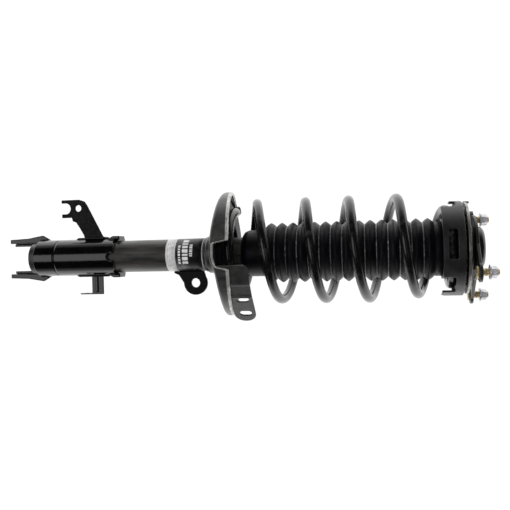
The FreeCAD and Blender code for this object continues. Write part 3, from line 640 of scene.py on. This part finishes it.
def make_small_brackets():
    """Hose and link brackets in a dull coat, and the thin sensor bracket in gloss paint."""
    for node in ("hose_bracket", "link_bracket"):
        dress(softened(node + "_skin", copied(node), 0.6, 4), "plate_black", [node])
    strip = softened("sensor_bracket_skin", copied("sensor_bracket"), 0.45, 3)
    dress(strip, "gloss_black", ["sensor_bracket"])


def make_welds():
    """Weld beads at the roots of the hose and link brackets and round the seat's collar."""
    form = bmesh.new()
    hose_root_x = extent("knuckle_bracket")[0].x + 7.4
    for y in (-9.2, -4.0):
        weld_bead(form, [spot(hose_root_x, y, 101), spot(hose_root_x, y, 130)], 1.5)
    low, high = extent("link_bracket")
    link_angle = 88
    weld_bead(form, [around(WELD_R, link_angle, low.z + 2), around(WELD_R, link_angle, high.z - 8)], 1.4)
    low, high = extent("seat_collar")
    flare_r = 33.0
    for z, radius, size in ((low.z + 0.4, WELD_R, 1.3), (high.z - 0.9, flare_r, 1.8)):
        weld_bead(form, [around(radius, 5 * i, z) for i in range(73)], size)
    dress(from_form("weld_beads", form), "gloss_black", body=BODY_OF["strut_tube"])


def band_patch(form, radius, start, end, low, high):
    """Curved rectangle on the tube between two front angles and two heights."""
    steps = max(int(abs(end - start) / 4), 1)
    rows = []
    for i in range(steps + 1):
        angle = start + (end - start) * i / steps
        rows.append([form.verts.new(around(radius, angle, z)) for z in (low, high)])
    for near, far in zip(rows, rows[1:]):
        form.faces.new((near[0], far[0], far[1], near[1]))


def make_label_bands():
    """Three rings of foil round the tube: white, dark and a light edge."""
    low, high = extent("label_band")
    radius = high.x
    inside = radius - 0.3
    split_z = low.z + LABEL_WHITE
    edge_z = high.z - LABEL_EDGE
    bands = (
        ("label_white", low.z, split_z, "label_foil"),
        ("label_dark", split_z, edge_z, "label_ink"),
        ("label_edge", edge_z, high.z, "label_mark"),
    )
    for name, z0, z1, material in bands:
        form = bmesh.new()
        lathe(form, [(inside, z0), (radius, z0), (radius, z1), (inside, z1)], 120)
        dress(from_form(name, form), material, ["label_band"])


def make_label_marks():
    """Plain light bars on the dark band, in rows, and short thin bars on the white band."""
    low, high = extent("label_band")
    radius = high.x + 0.05
    split_z = low.z + LABEL_WHITE
    # Each row: height, height of a bar, first angle, number of bars, widest bar and gap, in degrees.
    rows = (
        (split_z + 4.2, 3.6, -35, 7, 9, 3.0),
        (split_z + 10.5, 8.5, -62, 7, 13, 4.0),
        (split_z + 21.5, 4.6, -38, 6, 7, 2.5),
    )
    marks = bmesh.new()
    for z, tall, angle, count, widest, gap in rows:
        for i in range(count):
            bar = widest * (0.75 + 0.25 * math.sin(2.4 * i + z))
            band_patch(marks, radius, angle, angle + bar, z, z + tall)
            angle += bar + gap
    dress(from_form("label_marks", marks), "label_foil", body=BODY_OF["strut_tube"])
    fine = bmesh.new()
    for row in range(4):
        z = low.z + 3.0 + 2.6 * row
        for i in range(24):
            angle = -70 + 5.5 * i + row
            bar = 3.2 + 1.4 * math.sin(1.7 * i + row)
            band_patch(fine, radius, angle, angle + bar, z, z + 0.9)
    dress(from_form("label_fine_marks", fine), "label_mark", body=BODY_OF["strut_tube"])


# ---- lower seat -----------------------------------------------------------------------------------
def eased(share):
    """Smooth step from 0 to 1, held at its ends."""
    share = min(max(share, 0.0), 1.0)
    return share * share * (3 - 2 * share)


def pan_notch_depth(degrees):
    """How much of the rim is cut away at a front angle: 0 outside the notch, 1 in its middle."""
    if math.cos(math.radians(degrees)) < 0:
        return 0.0
    x = PAN_R * math.sin(math.radians(degrees))
    start, end = PAN_NOTCH
    inside = min(x - start, end - x)
    return eased(inside / PAN_NOTCH_CORNER + 0.5)


def pan_sag(degrees):
    """How far the floor's edge hangs below the floor: deeper left of the notch, raised right of it."""
    front = max(math.cos(math.radians(degrees)), 0.0)
    deep = 3.7 * front**5
    if degrees <= 0:
        return deep
    share = eased(degrees / 20)
    raised = -4.3 * math.sin(math.pi * min(degrees, 90) / 90)
    return deep * (1 - share) + raised * share


def pan_angles():
    """Front angles from -180 to 180 degrees, closer together across the notch."""
    angles = []
    degrees = -180.0
    while degrees < 180.0:
        angles.append(degrees)
        degrees += 0.4 if abs(degrees) < 16 else 2.0
    return angles


def pan_outline(degrees, base):
    """The seat's section at a front angle, in three runs: underside, rolled rim and upper side."""
    floor = base - pan_sag(degrees)
    top = PAN_RIM_Z + PAN_RIM_RISE * PAN_R * math.cos(math.radians(degrees))
    notch_top = floor + PAN_T + 3.2
    top += (notch_top - top) * pan_notch_depth(degrees)
    bend = min(PAN_CORNER, max(top - floor - PAN_BEAD_R, 2.5))
    corner_r = PAN_R - PAN_CORNER
    corner = [math.radians(15 * k) for k in range(1, 7)]
    underside = [(PAN_BORE, base), (PAN_FLAT_R, base), (corner_r, floor)]
    for turn in corner:
        underside.append((corner_r + PAN_CORNER * math.sin(turn), floor + bend * (1 - math.cos(turn))))
    # The rim's run begins 1.6 mm below the bead, so the painted highlight reaches down the wall.
    rim = [(PAN_R, max(top - PAN_BEAD_R - 1.6, floor + bend))]
    for k in range(9):
        turn = math.radians(22.5 * k)
        reach = PAN_BEAD_R * math.cos(turn)
        rim.append((PAN_R - PAN_BEAD_R + reach, top - PAN_BEAD_R + PAN_BEAD_R * math.sin(turn)))
    upper = [(PAN_R - PAN_T, (floor + bend + top - PAN_BEAD_R) / 2)]
    inner = PAN_CORNER - PAN_T
    inner_bend = max(bend - PAN_T, 0.4)
    for turn in reversed(corner):
        upper.append((corner_r + inner * math.sin(turn), floor + PAN_T + inner_bend * (1 - math.cos(turn))))
    upper += [(corner_r, floor + PAN_T), (PAN_FLAT_R, base + PAN_T), (PAN_BORE, base + PAN_T)]
    return underside, rim, upper


def make_pan():
    """Dished seat with a rolled rim that dips at the notch."""
    base = extent("lower_spring_seat")[0].z
    form = bmesh.new()
    rows = []
    for degrees in pan_angles():
        underside, rim, upper = pan_outline(degrees, base)
        rows.append([form.verts.new(around(r, degrees, z)) for r, z in underside + rim + upper])
    # The rolled rim's faces take the light rim material, a painted highlight.
    highlit_rim = range(len(underside), len(underside) + len(rim))
    for row, following in zip(rows, rows[1:] + rows[:1]):
        for j in range(len(row)):
            k = (j + 1) % len(row)
            face = form.faces.new((row[j], row[k], following[k], following[j]))
            face.material_index = 1 if j in highlit_rim else 0
    piece = from_form("seat_pan", form)
    for material in ("seat_black", "rim_painted_highlight"):
        piece.data.materials.append(MATERIALS[material])
    dress(piece, None, ["lower_spring_seat"])


def make_rim_tab():
    """Small rolled tab on the far side of the seat's rim."""
    places = [spot(-72, 49.5, 329), spot(-70, 51.2, 329.6), spot(-64, 56, 329.6), spot(-62, 57.5, 329)]
    form = bmesh.new()
    tube_along(form, places, (2.2, 3.0, 3.0, 2.2), 16)
    dress(from_form("rim_tab", form), "seat_black", body=BODY_OF["lower_spring_seat"])


def make_guard_and_collar():
    """Spring guard with its edges well rounded, and the flared collar under the seat."""
    dress(softened("guard_skin", copied("spring_guard"), 0.5, 14), "seat_black", ["spring_guard"])
    dress(softened("collar_skin", copied("seat_collar"), 0.7, 4), "seat_black", ["seat_collar"])


# ---- spring and boot ------------------------------------------------------------------------------
def shorten(piece):
    """Give a piece its own copy of its mesh."""
    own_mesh(piece)


def make_spring():
    """The spring's wire, taken from the CAD as it is."""
    piece = dress(from_form("coil_wire", copied("coil_spring")), "spring_coat", ["coil_spring"])
    shorten(piece)


def boot_outline(crest, foot, head):
    """Closed outline of the bellows: folds outside, neck, then the same line one wall further in."""
    neck = head - 11.8
    pitch = (neck - foot) / BOOT_FOLDS
    outer = []
    for i in range(BOOT_FOLDS):
        z = foot + i * pitch
        for k in range(BOOT_STEPS):
            t = k / BOOT_STEPS
            bulge = 0.45 * math.sin(math.pi * t) + 0.55 * (1 - abs(2 * t - 1))
            outer.append((BOOT_ROOT_R + (crest - BOOT_ROOT_R) * bulge, z + pitch * t))
    outer += [(BOOT_ROOT_R, neck), (BOOT_ROOT_R + 0.6, neck + 2), (BOOT_ROOT_R + 0.6, head)]
    return outer + [(r - BOOT_WALL, z) for r, z in reversed(outer)]


def make_boot():
    """Bellows with rounded folds, a painted highlight along each crease and a plain neck."""
    low, high = extent("dust_boot")
    form = bmesh.new()
    bands = lathe(form, boot_outline(high.x - 0.05, low.z, high.z), 144)
    # The faces just above each valley take the crease material, a painted highlight.
    for i in range(1, BOOT_FOLDS):
        for face in bands[i * BOOT_STEPS]:
            face.material_index = 1
    piece = from_form("boot_bellows", form)
    for material in ("boot_rubber", "boot_crease_highlight"):
        piece.data.materials.append(MATERIALS[material])
    dress(piece, None, ["dust_boot"])
    shorten(piece)


def make_cuff():
    """Bell at the boot's foot."""
    dress(softened("cuff_skin", copied("boot_cuff"), 0.6, 8), "boot_rubber", ["boot_cuff"])


# ---- top mount ------------------------------------------------------------------------------------
def make_mount():
    """Moulded and pressed pieces of the top mount, with their edges rounded."""
    for node, material, voxel in (
        ("upper_spring_seat", "cup_plastic", 0.8),
        ("mount_plate", "mount_black", 0.7),
        ("mount_lower_plate", "plate_zinc", 0.6),
        ("mount_rubber", "boot_rubber", 0.8),
    ):
        dress(softened(node + "_skin", copied(node), voxel, 4), material, [node])


def make_cap():
    """Dished cap with a steep side, a rolled shoulder and a faint raised ring."""
    low, high = extent("dust_cap")
    edge, top, wall = high.x, high.z, 1.4
    shoulder = edge - 1.2
    dish = top - 0.5
    outer = [(0.05, dish), (16, dish), (17.5, top), (24.5, top), (shoulder, top - 3.5), (edge, low.z)]
    inner = [(edge - wall * 1.6, low.z), (shoulder - wall, top - 4.2), (23.6, top - wall), (0.05, top - wall)]
    form = bmesh.new()
    lathe(form, rounded(outer + inner, 1.6), 160)
    dress(from_form("cap_shell", form), "cap_black", ["dust_cap"])


def threaded(form, centre, radius, low, high, pitch=1.5, depth=0.55):
    """Closed upright threaded rod whose thread fades out towards its tip."""
    turns = 24
    steps = int((high - low) / pitch * 8)
    rows = []
    for j in range(steps + 1):
        z = low + (high - low) * j / steps
        row = []
        for i in range(turns):
            phase = (z / pitch - i / turns) % 1
            ridge = 1 - abs(2 * phase - 1)
            ends = min(1.0, (high - z) / 1.5)
            r = (radius - depth * (1 - ridge)) * (0.82 + 0.18 * ends)
            angle = 2 * math.pi * i / turns
            x, y = centre.x + r * math.cos(angle), centre.y + r * math.sin(angle)
            row.append(form.verts.new(spot(x, y, z)))
        rows.append(row)
    for near, far in zip(rows, rows[1:]):
        for i in range(turns):
            n = (i + 1) % turns
            form.faces.new((near[i], near[n], far[n], far[i]))
    form.faces.new(rows[0])
    form.faces.new(rows[-1])


def stud_centres():
    """Centres of the three studs in millimetres, from the three loose parts of their mesh, left to right."""
    form = copied("mount_studs")
    waiting = set(form.verts)
    centres = []
    while waiting:
        island = []
        front = [waiting.pop()]
        while front:
            vertex = front.pop()
            island.append(vertex)
            for edge in vertex.link_edges:
                other = edge.other_vert(vertex)
                if other in waiting:
                    waiting.remove(other)
                    front.append(other)
        xs = [vertex.co.x for vertex in island]
        ys = [vertex.co.y for vertex in island]
        x, y = (min(xs) + max(xs)) / 2, (min(ys) + max(ys)) / 2
        centres.append(Vector((x / MM, (y - AXIS_Y) / MM)))
    form.free()
    return sorted(centres, key=lambda centre: centre.x)


def make_studs():
    """Threaded studs with a rounded shoulder and a plain shank, and flange nuts."""
    low, high = extent("mount_studs")
    nut_low = extent("stud_nuts")[0].z
    shoulder_top = low.z + STUD_SHOULDER
    form = bmesh.new()
    for centre in stud_centres():
        threaded(form, centre, STUD_R, low.z + 5, high.z)
        shoulder = [spot(centre.x, centre.y, z) for z in (low.z, low.z + 0.8, low.z + 2.6, shoulder_top)]
        tube_along(form, shoulder, (7.6, 8.4, 8.4, 7.8), 32)
        shank = [spot(centre.x, centre.y, z) for z in (shoulder_top, nut_low - 3.5)]
        tube_along(form, shank, (STUD_R + 0.3, STUD_R + 0.3), 32)
    dress(from_form("stud_threads", form), "stud_gold", ["mount_studs"])
    dress(softened("nut_skin", copied("stud_nuts"), 0.35, 2), "nut_zinc", ["stud_nuts"])


def paint_cad():
    """Give every CAD node the material of its slot."""
    for row in frame["record"]["subparts"]:
        mesh = frame["nodes"][row["node"]].data
        mesh.materials.clear()
        mesh.materials.append(MATERIALS[row["material_slot"]])


make_camera()
make_stage()
make_world()
make_fill()
MATERIALS = make_materials()
paint_cad()
make_bracket()
make_small_brackets()
make_welds()
make_label_bands()
make_label_marks()
make_pan()
make_rim_tab()
make_guard_and_collar()
make_spring()
make_boot()
make_cuff()
make_mount()
make_cap()
make_studs()

bpy.context.scene.view_settings.view_transform = "Standard"
